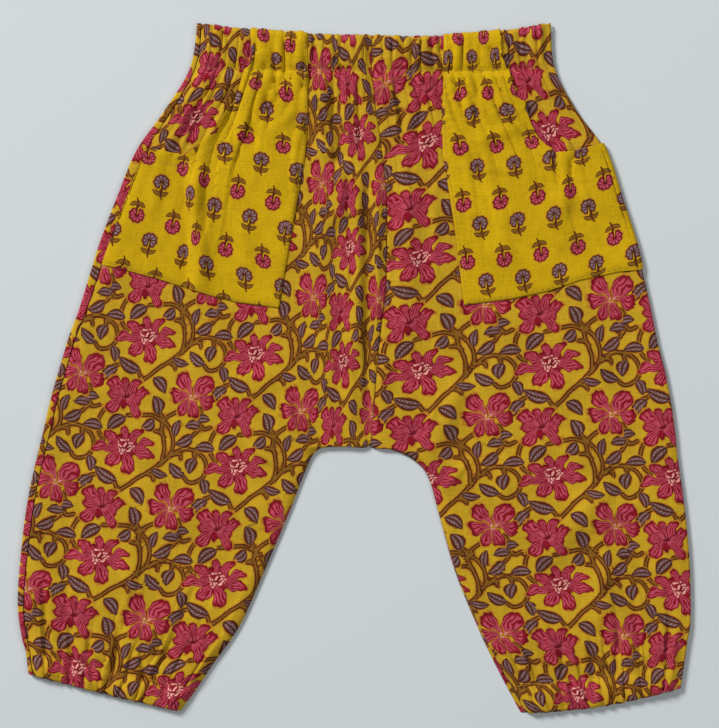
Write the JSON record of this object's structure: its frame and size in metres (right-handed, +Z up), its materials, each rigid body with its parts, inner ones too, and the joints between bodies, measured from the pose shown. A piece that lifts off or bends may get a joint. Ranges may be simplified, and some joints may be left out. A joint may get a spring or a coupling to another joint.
{
  "type": "baby harem pants",
  "caption": "Low-crotch baby pants of printed cotton laid flat, with gathered elastic waist and cuffs and patch pockets with scooped mouths.",
  "frame": {"origin": "the middle of the laid garment, on the surface that it lies on", "axes": "+Z up out of the front of the pants, +Y towards the waist, +X towards the wearer's left, which is the right of the picture"},
  "size_m": [0.3905, 0.4013, 0.0076],
  "materials": {
    "floral_print": "matt plain-weave cotton, block-printed in crimson flowers and mauve leaves on mustard",
    "pocket_print": "matt slub cotton, block-printed in small crimson and mauve flowers on yellow",
    "thread": "spun polyester sewing thread"
  },
  "bodies": {
    "root": {"front_panel_right": "floral_print", "front_panel_left": "floral_print", "back_panel_right": "floral_print", "back_panel_left": "floral_print", "pocket_right": "pocket_print", "pocket_left": "pocket_print"}
  },
  "joints": []
}
